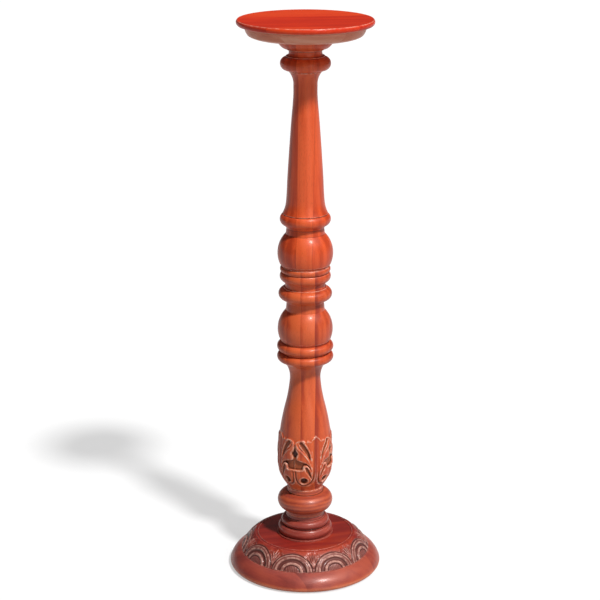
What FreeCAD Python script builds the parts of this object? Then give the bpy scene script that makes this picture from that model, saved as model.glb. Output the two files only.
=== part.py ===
import FreeCAD, Part
import os
import re
import Sketcher

# A turned and carved hardwood column stand, in millimetres. Z is the axis of turning and points
# up, and the floor is z = 0. The two column lengths, the knop, the collar and the two base discs
# are threaded on one long tenon and drawn together from below. The top plate screws on.

sizes = {
    # The whole stand, from the floor to the top of the plate
    "stand_height": 1003,

    # Felt pads under the base
    "pad_radius": 11,
    "pad_thickness": 3,
    "pad_circle": 112,
    "pad_count": 4,

    # Rim disc, the lower layer of the base
    "rim_foot_radius": 136,
    "rim_foot_height": 2.5,
    "rim_lip_radius": 137.5,
    "rim_lip_height": 3,
    "rim_radius": 137.8,
    "rim_slope_height": 22.5,
    "rim_slope_middle": 129.8,
    "rim_top_radius": 118.5,
    "counterbore_radius": 18,
    "counterbore_depth": 14,

    # Carved disc, the upper layer of the base
    "band_foot_radius": 117,
    "band_height": 29.5,
    "band_middle_radius": 107.9,
    "band_top_radius": 91.5,
    "ring_line_radius": 86,
    "ring_line_width": 3,
    "ring_line_height": 1.2,

    # Collar between base and knop
    "collar_foot_radius": 51,
    "collar_foot_height": 2.5,
    "collar_step_edge": 46,
    "collar_step_radius": 49.5,
    "collar_step_height": 16,
    "collar_groove_radius": 40.5,
    "collar_groove_height": 1.5,
    "collar_top_edge": 41,
    "collar_top_radius": 43.5,
    "collar_top_height": 13,
    "collar_top_end": 38,
    "collar_fillet_radius": 36.5,
    "collar_fillet_height": 1.5,
    "collar_neck_radius": 34.5,
    "collar_neck_height": 6,

    # Knop
    "knop_neck_height": 7.5,
    "knop_height": 35,
    "knop_radius": 50,
    "knop_end_radius": 32.5,
    "knop_top_height": 9.5,

    # Lower column, from its shoulder up: the leaf zone, the vase, two rings, ball, bead and cap
    "vase_foot_radius": 31.5,
    "vase_foot_height": 3,
    "leaf_base_height": 50,
    "leaf_base_middle": 46.8,
    "leaf_radius": 50,
    "leaf_top_height": 46,
    "leaf_top_middle": 49.8,
    "leaf_top_radius": 48,
    "vase_shoulder_radius": 46.8,
    "vase_shoulder_height": 57,
    "vase_shoulder_middle": 42.6,
    "vase_waist_radius": 36.5,
    "vase_neck_height": 52,
    "vase_neck_middle": 30.7,
    "vase_neck_radius": 27.5,
    "vase_flare_height": 28,
    "vase_flare_middle": 28.8,
    "vase_flare_radius": 35,
    "under_ring_height": 6,
    "ring_edge_radius": 43.8,
    "ring_radius": 50.3,
    "ring_height": 16.5,
    "ring_groove_radius": 42.5,
    "ring_groove_height": 2.5,
    "ball_groove_radius": 41.5,
    "ball_groove_height": 4.5,
    "ball_foot_radius": 44.8,
    "ball_radius": 49,
    "ball_top_radius": 34.5,
    "ball_neck_height": 15,
    "ball_neck_radius": 33,
    "under_bead_height": 5,
    "bead_edge_radius": 36.5,
    "bead_height": 20.5,
    "bead_radius": 47.5,
    "bead_top_radius": 38.5,
    "cap_neck_radius": 35.7,
    "cap_neck_height": 10,
    "cap_foot_radius": 37,
    "cap_ring_height": 17,
    "cap_ring_radius": 45,
    "cap_edge_radius": 42.5,
    "cap_groove_radius": 41.3,
    "cap_groove_height": 1.5,
    "cap_top_height": 9.5,
    "cap_top_radius": 44.6,

    # Upper column, from the joint under its ball up to the head that carries the plate
    "upper_neck_height": 10.5,
    "shaft_bead_height": 20,
    "shaft_bead_radius": 44.7,
    "shaft_bead_top": 39.8,
    "incised_line_radius": 39.2,
    "incised_line_height": 1.2,
    "shaft_flare_height": 19,
    "shaft_flare_middle": 35.9,
    "shaft_foot_radius": 33.9,
    "shaft_middle_radius": 28,
    "shaft_top_radius": 20.8,
    "shaft_neck_height": 16,
    "bell_height": 23,
    "bell_middle_radius": 22.2,
    "bell_radius": 28.3,
    "bell_lip_height": 1.5,
    "crown_groove_radius": 26.8,
    "crown_groove_height": 1.5,
    "crown_edge_radius": 34.5,
    "crown_bead_height": 22.5,
    "crown_bead_radius": 43.6,
    "crown_top_radius": 34.5,
    "crown_fillet_radius": 33.5,
    "crown_cove_radius": 30.5,
    "crown_cove_height": 5,
    "crown_cove_middle": 29.2,
    "crown_neck_radius": 28.6,
    "crown_neck_height": 5.2,
    "head_fillet_radius": 32,
    "head_fillet_height": 3,
    "head_foot_radius": 38.5,
    "head_height": 18.3,
    "head_middle_radius": 47.3,
    "head_radius": 50.5,
    "fillet_height": 2,

    # Top plate, from its underside up
    "plate_flat_radius": 85.5,
    "plate_corner_height": 4.5,
    "plate_corner_middle": 95,
    "plate_bowl_radius": 98.8,
    "plate_bowl_height": 12,
    "plate_bowl_middle": 102.2,
    "plate_shoulder_radius": 104,
    "plate_cove_height": 4,
    "plate_cove_middle": 104.5,
    "plate_cove_radius": 107.5,
    "plate_lip_radius": 115,
    "plate_lip_height": 5.5,
    "plate_lip_middle": 117.3,
    "plate_radius": 117.8,
    "plate_edge_height": 4,
    "plate_edge_middle": 117.4,
    "plate_face_radius": 116,

    # Joints between the turned pieces
    "tenon_radius": 15,
    "tenon_chamfer": 1.5,
    "middle_tenon_length": 45,
    "tenon_clearance": 0.2,
    "end_gap": 1,

    # Lag bolt and washer that draw the column down on the base
    "bolt_radius": 5,
    "bolt_length": 90,
    "bolt_point": 8,
    "bolt_head_width": 17,
    "bolt_head_height": 6.5,
    "washer_radius": 15,
    "washer_thickness": 2.5,
    "bolt_clearance": 0.5,
    "thread_clearance": 0.1,

    # Hanger bolt and threaded insert that hold the plate
    "hanger_radius": 5,
    "hanger_wood_length": 50,
    "hanger_metal_length": 16,
    "hanger_point": 7,
    "hanger_chamfer": 1,
    "insert_radius": 8,
    "insert_length": 18,
    "insert_chamfer": 1,

    # Wood screws that join the two base discs
    "screw_radius": 2.5,
    "screw_length": 45,
    "screw_point": 5,
    "screw_head_radius": 5,
    "screw_head_height": 3,
    "screw_circle": 75,
    "screw_count": 6,
    "screw_clearance": 0.3,
}

doc = FreeCAD.newDocument("column_stand")
sheet = doc.addObject("Spreadsheet::Sheet", "Sizes")
for row, (alias, value) in enumerate(sizes.items(), start=1):
    sheet.set("A%d" % row, alias)
    sheet.set("B%d" % row, str(value))
    sheet.setAlias("B%d" % row, alias)
doc.recompute()


# A size is written in the formulas below by its name alone, and this names its cell in the sheet.
def cells(formula):
    return re.sub(r"[a-z]\w*(?![\w(])", lambda name: "Sizes." + name.group(0), formula)


def value_of(formula):
    return float(sheet.evalExpression(cells(formula)))


def origin_item(body, role):
    return next(item for item in body.Origin.OriginFeatures if item.Role == role)


def new_body(label):
    body = doc.addObject("PartDesign::Body", label)
    body.Label = label
    return body


def new_sketch(body, label, role):
    sketch = body.newObject("Sketcher::SketchObject", label)
    sketch.AttachmentSupport = (origin_item(body, role), [""])
    sketch.MapMode = "FlatFace"
    return sketch


# Ties one end of a sketch element to its distances from the sketch's origin.
def pin(sketch, element, end, across, up):
    for kind, formula, axis in (("DistanceX", across, -2), ("DistanceY", up, -1)):
        if formula == "0":
            sketch.addConstraint(Sketcher.Constraint("PointOnObject", element, end, axis))
            continue
        distance = value_of(formula)
        index = sketch.addConstraint(Sketcher.Constraint(kind, -1, 1, element, end, distance))
        sketch.setExpression("Constraints[%d]" % index, cells(formula))


# An arc is stored counter-clockwise, so its first end may be the later one of the outline.
def end_at(sketch, element, point):
    return 1 if sketch.getPoint(element, 1).distanceToPoint(point) < 1e-6 else 2


# Draws a closed outline. It starts at a radius and a height, and each cut says how far it rises
# and the radius it ends at. A rounded cut also gives the radius it passes through, halfway up or
# at a rise of its own. The last corner is joined to the first.
def draw_outline(sketch, start, cuts):
    radius, height = start
    corners = [(radius, height, None)]
    for rise, radius, *rounded in cuts:
        through = None
        if rounded:
            part_way = rounded[1] if len(rounded) > 1 else "(%s) / 2" % rise
            through = (rounded[0], "%s + %s" % (height, part_way))
        if rise != "0":
            height = rise if height == "0" else "%s + %s" % (height, rise)
        corners.append((radius, height, through))

    points = [FreeCAD.Vector(value_of(radius), value_of(height), 0) for radius, height, _ in corners]
    count = len(corners)
    for number in range(count):
        following = (number + 1) % count
        through = corners[following][2]
        if through:
            middle = FreeCAD.Vector(value_of(through[0]), value_of(through[1]), 0)
            edge = Part.Arc(points[number], middle, points[following])
        else:
            edge = Part.LineSegment(points[number], points[following])
        sketch.addGeometry(edge)
    for number in range(count):
        following = (number + 1) % count
        here = end_at(sketch, number, points[number])
        meets = end_at(sketch, following, points[following])
        sketch.addConstraint(Sketcher.Constraint("Coincident", number, 3 - here, following, meets))
        pin(sketch, number, here, corners[number][0], corners[number][1])
    for number in range(count):
        through = corners[(number + 1) % count][2]
        if through:
            middle = FreeCAD.Vector(value_of(through[0]), value_of(through[1]), 0)
            point = sketch.addGeometry(Part.Point(middle), True)
            pin(sketch, point, 1, *through)
            sketch.addConstraint(Sketcher.Constraint("PointOnObject", point, 1, number))


# A solid of revolution about the body's Z axis.
def turn(body, start, cuts):
    sketch = new_sketch(body, body.Label + "_outline", "XZ_Plane")
    draw_outline(sketch, start, cuts)
    turning = body.newObject("PartDesign::Revolution", body.Label + "_turning")
    turning.Profile = sketch
    turning.ReferenceAxis = (sketch, ["V_Axis"])
    turning.Angle = 360
    sketch.Visibility = False
    return turning


# Bores the same stepped hole in a disc at each screw. The last edge of the hole's outline is the
# line of the screw. Every hole has to take away as much wood as the first.
def ring_of_holes(body, label, start, cuts):
    doc.recompute()
    whole = body.Shape.Volume
    sketch = new_sketch(body, label + "_outline", "XZ_Plane")
    draw_outline(sketch, start, cuts)
    groove = body.newObject("PartDesign::Groove", label)
    groove.Profile = sketch
    groove.ReferenceAxis = (sketch, ["Edge%d" % (len(cuts) + 1)])
    groove.Angle = 360
    pattern = body.newObject("PartDesign::PolarPattern", label + "_ring")
    pattern.Originals = [groove]
    pattern.Axis = (origin_item(body, "Z_Axis"), [""])
    pattern.Angle = 360
    pattern.setExpression("Occurrences", cells("screw_count"))
    body.Tip = pattern
    doc.recompute()
    one_hole = whole - groove.Shape.Volume
    all_holes = whole - body.Shape.Volume
    if one_hole <= 0 or abs(all_holes - sizes["screw_count"] * one_hole) > 0.001 * one_hole:
        raise SystemExit("%s did not bore every hole" % label)


# The formula of the height that a run of cuts climbs.
def total(cuts):
    return " + ".join(cut[0] for cut in cuts if cut[0] != "0")


def lift(item, formula):
    item.setExpression("Placement.Base.z", cells(formula))


# The same small piece at each place on a circle, as one group of separate solids.
def group_on_circle(label, count, circle, foot, make_one):
    members = []
    for number in range(int(sizes[count])):
        one = make_one("%s_%d" % (label, number + 1))
        angle = "%d * 360 / %s" % (number, count)
        one.setExpression("Placement.Base.x", cells("%s * cos(%s)" % (circle, angle)))
        one.setExpression("Placement.Base.y", cells("%s * sin(%s)" % (circle, angle)))
        lift(one, foot)
        members.append(one)
    group = doc.addObject("Part::Compound", label)
    group.Label = label
    group.Links = members
    return group


# A ball is a true sphere on the axis, cut off at its foot and its top.
ball_below = "sqrt(ball_radius ^ 2 - ball_foot_radius ^ 2)"
ball_above = "sqrt(ball_radius ^ 2 - ball_top_radius ^ 2)"
ball = [
    ("ball_groove_height", "ball_groove_radius"),
    ("0", "ball_foot_radius"),
    (ball_below + " + " + ball_above, "ball_top_radius", "ball_radius", ball_below),
]

rim_cuts = [
    ("rim_foot_height", "rim_foot_radius"),
    ("0", "rim_lip_radius"),
    ("rim_lip_height", "rim_radius"),
    ("rim_slope_height", "rim_top_radius", "rim_slope_middle"),
]

band_cuts = [
    ("band_height", "band_top_radius", "band_middle_radius"),
    ("0", "ring_line_radius + ring_line_width / 2"),
    ("0", "ring_line_radius - ring_line_width / 2", "ring_line_radius", "ring_line_height"),
]

collar_cuts = [
    ("collar_foot_height", "collar_foot_radius"),
    ("0", "collar_step_edge"),
    ("collar_step_height", "collar_step_edge", "collar_step_radius"),
    ("0", "collar_groove_radius"),
    ("collar_groove_height", "collar_groove_radius"),
    ("0", "collar_top_edge"),
    ("collar_top_height", "collar_top_end", "collar_top_radius"),
    ("0", "collar_fillet_radius"),
    ("collar_fillet_height", "collar_fillet_radius"),
    ("0", "collar_neck_radius"),
    ("collar_neck_height", "collar_neck_radius"),
]

knop_cuts = [
    ("knop_neck_height", "collar_neck_radius"),
    ("knop_height", "knop_end_radius", "knop_radius"),
    ("knop_top_height", "knop_end_radius"),
]

ring = ("ring_height", "ring_edge_radius", "ring_radius")
lower_cuts = [
    ("vase_foot_height", "vase_foot_radius"),
    ("leaf_base_height", "leaf_radius", "leaf_base_middle"),
    ("leaf_top_height", "leaf_top_radius", "leaf_top_middle"),
    ("0", "vase_shoulder_radius"),
    ("vase_shoulder_height", "vase_waist_radius", "vase_shoulder_middle"),
    ("vase_neck_height", "vase_neck_radius", "vase_neck_middle"),
    ("vase_flare_height", "vase_flare_radius", "vase_flare_middle"),
    ("under_ring_height", "ring_edge_radius"),
    ring,
    ("0", "ring_groove_radius"),
    ("ring_groove_height", "ring_groove_radius"),
    ("0", "ring_edge_radius"),
    ring,
    ("0", "ball_groove_radius"),
    *ball,
    ("ball_neck_height", "ball_neck_radius"),
    ("under_bead_height", "bead_edge_radius"),
    ("bead_height", "bead_top_radius", "bead_radius"),
    ("fillet_height", "bead_top_radius"),
    ("0", "cap_neck_radius"),
    ("cap_neck_height", "cap_neck_radius"),
    ("0", "cap_foot_radius"),
    ("cap_ring_height", "cap_edge_radius", "cap_ring_radius"),
    ("0", "cap_groove_radius"),
    ("cap_groove_height", "cap_groove_radius"),
    ("0", "cap_edge_radius"),
    ("cap_top_height", "cap_edge_radius", "cap_top_radius"),
]

below_shaft = [
    *ball,
    ("upper_neck_height", "ball_neck_radius"),
    ("under_bead_height", "bead_edge_radius"),
    ("shaft_bead_height", "shaft_bead_top", "shaft_bead_radius"),
    ("0", "incised_line_radius"),
    ("incised_line_height", "incised_line_radius"),
    ("0", "shaft_bead_top"),
    ("shaft_flare_height", "shaft_foot_radius", "shaft_flare_middle"),
]
above_shaft = [
    ("shaft_neck_height", "shaft_top_radius"),
    ("bell_height", "bell_radius", "bell_middle_radius"),
    ("bell_lip_height", "bell_radius"),
    ("0", "crown_groove_radius"),
    ("crown_groove_height", "crown_groove_radius"),
    ("0", "crown_edge_radius"),
    ("crown_bead_height", "crown_top_radius", "crown_bead_radius"),
    ("0", "crown_fillet_radius"),
    ("fillet_height", "crown_fillet_radius"),
    ("0", "crown_cove_radius"),
    ("crown_cove_height", "crown_neck_radius", "crown_cove_middle"),
    ("crown_neck_height", "crown_neck_radius"),
    ("0", "head_fillet_radius"),
    ("head_fillet_height", "head_fillet_radius"),
    ("0", "head_foot_radius"),
    ("head_height", "head_radius", "head_middle_radius"),
]

plate_cuts = [
    ("plate_corner_height", "plate_bowl_radius", "plate_corner_middle"),
    ("plate_bowl_height", "plate_shoulder_radius", "plate_bowl_middle"),
    ("plate_cove_height", "plate_cove_radius", "plate_cove_middle"),
    ("0", "plate_lip_radius"),
    ("plate_lip_height", "plate_radius", "plate_lip_middle"),
    ("plate_edge_height", "plate_face_radius", "plate_edge_middle"),
]

# The shaft's taper takes up what all the other lengths leave of the stand's height.
other_lengths = " + ".join(["pad_thickness", *map(total, (
    rim_cuts, band_cuts, collar_cuts, knop_cuts, lower_cuts, below_shaft, above_shaft, plate_cuts,
))])
shaft_height = "stand_height - (%s)" % other_lengths
upper_cuts = [
    *below_shaft,
    (shaft_height, "shaft_top_radius", "shaft_middle_radius"),
    *above_shaft,
]

# Where each piece sits on the one below it
rim_foot = "pad_thickness"
band_foot = rim_foot + " + " + total(rim_cuts)
collar_foot = band_foot + " + " + total(band_cuts)
knop_foot = collar_foot + " + " + total(collar_cuts)
lower_foot = knop_foot + " + " + total(knop_cuts)
upper_foot = lower_foot + " + " + total(lower_cuts)
plate_foot = upper_foot + " + " + total(upper_cuts)

# The long tenon runs through knop, collar and carved disc, and stops short of the rim disc.
foot_tenon = " + ".join([total(knop_cuts), total(collar_cuts), total(band_cuts), "-end_gap"])
tenon_hole = "tenon_radius + tenon_clearance"
bolt_hole = "bolt_radius + bolt_clearance"
bolt_thread = "bolt_radius + thread_clearance"
bolt_below_tenon = "washer_thickness + %s - counterbore_depth + end_gap" % total(rim_cuts)
bolt_bite = "bolt_length - (%s) + end_gap" % bolt_below_tenon

# The base screws pass freely through the rim disc and bite in the carved disc.
screw_hole = "screw_circle + screw_radius + screw_clearance"
screw_thread = "screw_circle + screw_radius + thread_clearance"
screw_bite = "screw_length - (%s) + end_gap" % total(rim_cuts)

# Rim disc, with the stepped hole for the lag bolt and its washer, and the holes of the screws
rim_disc = new_body("rim_disc")
turn(rim_disc, (bolt_hole, total(rim_cuts)), [
    ("counterbore_depth - (%s)" % total(rim_cuts), bolt_hole),
    ("0", "counterbore_radius"),
    ("-counterbore_depth", "counterbore_radius"),
    ("0", "rim_foot_radius"),
    *rim_cuts,
])
ring_of_holes(rim_disc, "screw_holes", ("screw_circle", "0"), [
    ("0", "screw_circle + screw_head_radius + screw_clearance"),
    ("screw_head_height", screw_hole),
    ("%s - screw_head_height" % total(rim_cuts), screw_hole),
    ("0", "screw_circle"),
])
lift(rim_disc, rim_foot)

# Carved disc, bored for the tenon and the screws
carved_disc = new_body("carved_disc")
turn(carved_disc, (tenon_hole, "0"), [
    ("0", "band_foot_radius"),
    *band_cuts,
    ("0", tenon_hole),
])
ring_of_holes(carved_disc, "screw_pilots", ("screw_circle", "0"), [
    ("0", screw_thread),
    (screw_bite, screw_thread),
    ("0", "screw_circle"),
])
lift(carved_disc, band_foot)

base_collar = new_body("base_collar")
turn(base_collar, (tenon_hole, "0"), [
    ("0", "collar_foot_radius"),
    *collar_cuts,
    ("0", tenon_hole),
])
lift(base_collar, collar_foot)

knop = new_body("knop")
turn(knop, (tenon_hole, "0"), [
    ("0", "collar_neck_radius"),
    *knop_cuts,
    ("0", tenon_hole),
])
lift(knop, knop_foot)

# Lower column: pilot hole and long tenon below its shoulder, mortise in its top
lower_column = new_body("lower_column")
turn(lower_column, ("0", "%s - (%s)" % (bolt_bite, foot_tenon)), [
    ("0", bolt_thread),
    ("-(%s)" % bolt_bite, bolt_thread),
    ("0", "tenon_radius - tenon_chamfer"),
    ("tenon_chamfer", "tenon_radius"),
    ("%s - tenon_chamfer" % foot_tenon, "tenon_radius"),
    ("0", "vase_foot_radius"),
    *lower_cuts,
    ("0", tenon_hole),
    ("-(middle_tenon_length + end_gap)", tenon_hole),
    ("0", "0"),
])
lift(lower_column, lower_foot)

# Upper column: tenon below its shoulder, hole for the hanger bolt in its head
upper_column = new_body("upper_column")
turn(upper_column, ("0", "-middle_tenon_length"), [
    ("0", "tenon_radius - tenon_chamfer"),
    ("tenon_chamfer", "tenon_radius"),
    ("middle_tenon_length - tenon_chamfer", "tenon_radius"),
    ("0", "ball_groove_radius"),
    *upper_cuts,
    ("0", "hanger_radius + thread_clearance"),
    ("-(hanger_wood_length + end_gap)", "hanger_radius + thread_clearance"),
    ("0", "0"),
])
lift(upper_column, upper_foot)

# Top plate, with a blind hole in its underside for the threaded insert
top_plate = new_body("top_plate")
turn(top_plate, ("0", "insert_length + end_gap"), [
    ("0", "insert_radius + thread_clearance"),
    ("-(insert_length + end_gap)", "insert_radius + thread_clearance"),
    ("0", "plate_flat_radius"),
    *plate_cuts,
    ("0", "0"),
])
lift(top_plate, plate_foot)

top_insert_nut = new_body("top_insert_nut")
turn(top_insert_nut, ("hanger_radius + thread_clearance", "0"), [
    ("0", "insert_radius - insert_chamfer"),
    ("insert_chamfer", "insert_radius"),
    ("insert_length - 2 * insert_chamfer", "insert_radius"),
    ("insert_chamfer", "insert_radius - insert_chamfer"),
    ("0", "hanger_radius + thread_clearance"),
])
lift(top_insert_nut, plate_foot)

# Hanger bolt: a wood thread with a point below, a metal thread above
top_hanger_bolt = new_body("top_hanger_bolt")
turn(top_hanger_bolt, ("0", "-hanger_wood_length"), [
    ("hanger_point", "hanger_radius"),
    ("hanger_wood_length - hanger_point + hanger_metal_length - hanger_chamfer", "hanger_radius"),
    ("hanger_chamfer", "hanger_radius - hanger_chamfer"),
    ("0", "0"),
])
lift(top_hanger_bolt, plate_foot)

# Washer, bearing on the bottom of the counterbore
column_washer = new_body("column_washer")
turn(column_washer, (bolt_hole, "0"), [
    ("0", "washer_radius"),
    ("washer_thickness", "washer_radius"),
    ("0", bolt_hole),
])
washer_foot = rim_foot + " + counterbore_depth - washer_thickness"
lift(column_washer, washer_foot)

# Lag bolt: pointed shank above, six-sided head below the washer
column_lag_bolt = new_body("column_lag_bolt")
turn(column_lag_bolt, ("0", "0"), [
    ("0", "bolt_radius"),
    ("bolt_length - bolt_point", "bolt_radius"),
    ("bolt_point", "0"),
])
head_sketch = new_sketch(column_lag_bolt, "head_outline", "XY_Plane")
half_side = "bolt_head_width / (2 * sqrt(3))"
head_corners = [
    ("2 * " + half_side, "0"),
    (half_side, "bolt_head_width / 2"),
    ("-" + half_side, "bolt_head_width / 2"),
    ("-2 * " + half_side, "0"),
    ("-" + half_side, "-bolt_head_width / 2"),
    (half_side, "-bolt_head_width / 2"),
]
head_points = [FreeCAD.Vector(value_of(across), value_of(up), 0) for across, up in head_corners]
for number, corner in enumerate(head_points):
    head_sketch.addGeometry(Part.LineSegment(corner, head_points[(number + 1) % len(head_points)]))
for number, (across, up) in enumerate(head_corners):
    following = (number + 1) % len(head_corners)
    head_sketch.addConstraint(Sketcher.Constraint("Coincident", number, 2, following, 1))
    pin(head_sketch, number, 1, across, up)
bolt_head = column_lag_bolt.newObject("PartDesign::Pad", "bolt_head")
bolt_head.Profile = head_sketch
bolt_head.setExpression("Length", cells("bolt_head_height"))
bolt_head.Reversed = True
lift(column_lag_bolt, washer_foot)


# A countersunk wood screw, head down, standing on its head's flat face
def make_screw(label):
    screw = new_body(label)
    turn(screw, ("0", "0"), [
        ("0", "screw_head_radius"),
        ("screw_head_height", "screw_radius"),
        ("screw_length - screw_head_height - screw_point", "screw_radius"),
        ("screw_point", "0"),
    ])
    return screw


def make_pad(label):
    pad = doc.addObject("Part::Cylinder", label)
    pad.setExpression("Radius", cells("pad_radius"))
    pad.setExpression("Height", cells("pad_thickness"))
    return pad


base_screws = group_on_circle("base_screws", "screw_count", "screw_circle", rim_foot, make_screw)
felt_pads = group_on_circle("felt_pads", "pad_count", "pad_circle", "0", make_pad)

doc.recompute()

for item in doc.Objects:
    if "Invalid" in item.State or "Error" in item.State:
        raise SystemExit("%s did not build: %s" % (item.Label, item.State))

pieces = [
    top_plate, top_insert_nut, top_hanger_bolt, upper_column, lower_column, knop, base_collar,
    carved_disc, rim_disc, base_screws, column_washer, column_lag_bolt, felt_pads,
]
for piece in pieces:
    if piece.Shape.isNull() or not piece.Shape.isValid():
        raise SystemExit("%s has no valid shape" % piece.Label)

os.makedirs("parts", exist_ok=True)
for piece in pieces:
    piece.Shape.exportStep("parts/%s.step" % piece.Label)
    box = piece.Shape.optimalBoundingBox(False, False)
    print("%-18s %9.1f mm3  z %7.2f to %7.2f  radius %6.2f" % (
        piece.Label, piece.Shape.Volume, box.ZMin, box.ZMax, box.XMax))
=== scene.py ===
import math
import bpy
import numpy as np
from mathutils import Matrix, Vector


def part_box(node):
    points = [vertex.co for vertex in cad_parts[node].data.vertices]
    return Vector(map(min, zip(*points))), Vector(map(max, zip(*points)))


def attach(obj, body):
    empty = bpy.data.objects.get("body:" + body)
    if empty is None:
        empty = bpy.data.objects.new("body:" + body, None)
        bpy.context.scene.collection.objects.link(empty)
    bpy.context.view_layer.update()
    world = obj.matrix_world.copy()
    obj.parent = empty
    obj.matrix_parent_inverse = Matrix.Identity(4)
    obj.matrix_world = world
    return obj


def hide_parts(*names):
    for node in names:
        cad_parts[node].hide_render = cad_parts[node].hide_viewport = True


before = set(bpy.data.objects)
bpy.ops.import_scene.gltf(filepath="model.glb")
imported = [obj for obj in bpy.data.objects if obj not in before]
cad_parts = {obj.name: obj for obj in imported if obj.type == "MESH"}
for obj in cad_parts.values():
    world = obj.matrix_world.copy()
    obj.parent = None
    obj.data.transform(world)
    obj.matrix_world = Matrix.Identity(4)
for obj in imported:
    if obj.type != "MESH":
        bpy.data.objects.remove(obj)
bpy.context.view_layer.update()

scene = bpy.context.scene
mm = 0.001     # the frame is in metres, and the sizes below are in millimetres
tiny = 1e-9    # keeps a division from zero


# Editing helpers. A piece is picked up before each operator, so that nothing else is selected.

def pickUp(piece):
    bpy.ops.object.select_all(action="DESELECT")
    piece.select_set(True)
    bpy.context.view_layer.objects.active = piece


def startEdit(piece, action="SELECT"):
    pickUp(piece)
    bpy.ops.object.mode_set(mode="EDIT")
    bpy.ops.mesh.select_mode(type="EDGE")
    bpy.ops.mesh.select_all(action=action)


def endEdit():
    bpy.ops.object.mode_set(mode="OBJECT")


def editOnly(piece, kind, chosen):    # starts to edit the chosen vertices or edges
    startEdit(piece, "DESELECT")
    bpy.ops.mesh.select_mode(type=kind)
    endEdit()
    parts = piece.data.vertices if kind == "VERT" else piece.data.edges
    parts.foreach_set("select", chosen)
    bpy.ops.object.mode_set(mode="EDIT")


def newPiece(name, points, edges):
    mesh = bpy.data.meshes.new(name)
    mesh.from_pydata(points, edges, [])
    piece = bpy.data.objects.new(name, mesh)
    scene.collection.objects.link(piece)
    return piece


def getPoints(mesh):
    flat = np.empty(len(mesh.vertices) * 3)
    mesh.vertices.foreach_get("co", flat)
    return flat.reshape(-1, 3)


def setPoints(mesh, points):
    mesh.vertices.foreach_set("co", points.ravel())
    mesh.update()


def getAttribute(mesh, name):
    values = np.zeros(len(mesh.vertices), dtype=np.float32)
    if name in mesh.attributes:
        mesh.attributes[name].data.foreach_get("value", values)
    return values


def setAttribute(mesh, name, values):
    layer = mesh.attributes.get(name) or mesh.attributes.new(name, "FLOAT", "POINT")
    layer.data.foreach_set("value", np.asarray(values, dtype=np.float32))


def declare(piece, nodeName, material):
    piece.data.materials.append(material)
    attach(piece, "root")
    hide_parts(nodeName)
    piece.data.calc_loop_triangles()
    print("made", piece.name, "with", len(piece.data.loop_triangles), "triangles")


# Lines and curves. A line is an array of points, two numbers each.

def smoothStep(low, high, value):
    share = np.clip((value - low) / (high - low), 0, 1)
    return share * share * (3 - 2 * share)


def unit(ways):    # the same directions, each 1 long
    return ways / np.maximum(np.hypot(*ways.T), tiny)[:, None]


def outwardOf(way):    # out of the wood, which is on the left of the way
    return np.stack([way[:, 1], -way[:, 0]], axis=1)


def measureAlong(line):    # how far along the line each of its points lies
    return np.concatenate([[0], np.cumsum(np.hypot(*np.diff(line, axis=0).T))])


def readLine(line, passed, places):    # its points, or values that go with them, at other places
    return np.stack([np.interp(places, passed, line[:, axis]) for axis in (0, 1)], axis=-1)


# Turning. A CAD node is sliced through its axis, and the outline of the slice, as radius and
# height, is softened at its corners and spun into a finer piece. The attribute hollow is how far
# a point lies below what is round it, in mm, for dirt and painted shade in grooves and for wear
# and painted highlights on crests.

turning = {    # mm, where nothing else is said
    "weld": 0.002,
    "sliceThreshold": 0.001,
    "betweenScrews": 90,           # degrees, where a slice of the base meets no screw hole
    "cornerAngle": 12,             # degrees, a sharper turn in the outline is a corner
    "step": 3.0,                   # between rings along a curve
    "cornerRadius": 0.5,           # sanded and lacquered off each corner
    "cornerShare": 0.3,            # of the shorter run beside it, which a soft corner may take
    "cornerSegments": 3,
    "besideCorner": (0.6, 2.2),    # from a softened corner, where rings hold the flats
    "leastStep": 0.3,
    "spinSteps": 160,
    "hollowReach": 2.4,            # each way along the outline
    "hollowSamples": 25,
    "slopeReach": 0.4,             # each way, for the outline's direction
}


def sliceOutline(nodeName, degrees=0):    # the outline, and whether it is closed
    slicePiece = bpy.data.objects.new(nodeName + "Slice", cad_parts[nodeName].data.copy())
    scene.collection.objects.link(slicePiece)
    startEdit(slicePiece)
    bpy.ops.mesh.remove_doubles(threshold=turning["weld"] * mm)
    bpy.ops.mesh.select_all(action="SELECT")
    turn = math.radians(degrees)
    bpy.ops.mesh.bisect(
        plane_co=(0, 0, 0), plane_no=(-math.sin(turn), math.cos(turn), 0),
        clear_inner=True, clear_outer=True, threshold=turning["sliceThreshold"] * mm,
    )
    endEdit()
    points = getPoints(slicePiece.data)
    side = (points[:, 0] * math.cos(turn) + points[:, 1] * math.sin(turn)) / mm
    height = points[:, 2] / mm
    places = {number: (max(side[number], 0), height[number]) for number in range(len(points))}
    links = {}
    for edge in slicePiece.data.edges:
        first, second = sorted(edge.vertices, key=lambda number: side[number])
        if side[second] < turning["weld"]:
            continue
        if side[first] < -turning["weld"]:    # a flat face that crosses the axis ends on it
            share = side[first] / (side[first] - side[second])
            crossing = height[first] + share * (height[second] - height[first])
            first = len(places)
            places[first] = (0, crossing)
        links.setdefault(first, []).append(second)
        links.setdefault(second, []).append(first)
    bpy.data.objects.remove(slicePiece)
    return followLinks(places, links)


def followLinks(places, links):    # from end to end, or all the way round if there are no ends
    ends = [number for number, others in links.items() if len(others) == 1]
    here = min(ends or links, key=lambda number: places[number])
    chain, before = [here], None
    while True:
        onward = [other for other in links[here] if other != before]
        if not onward or onward[0] == chain[0]:
            break
        before, here = here, onward[0]
        chain.append(here)
    outline = np.array([places[number] for number in chain])
    rolled = np.roll(outline, -1, axis=0)
    if np.sum(outline[:, 0] * rolled[:, 1] - rolled[:, 0] * outline[:, 1]) < 0:
        outline = outline[::-1]    # the wood is on the left all the way round
    return outline, not ends


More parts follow.
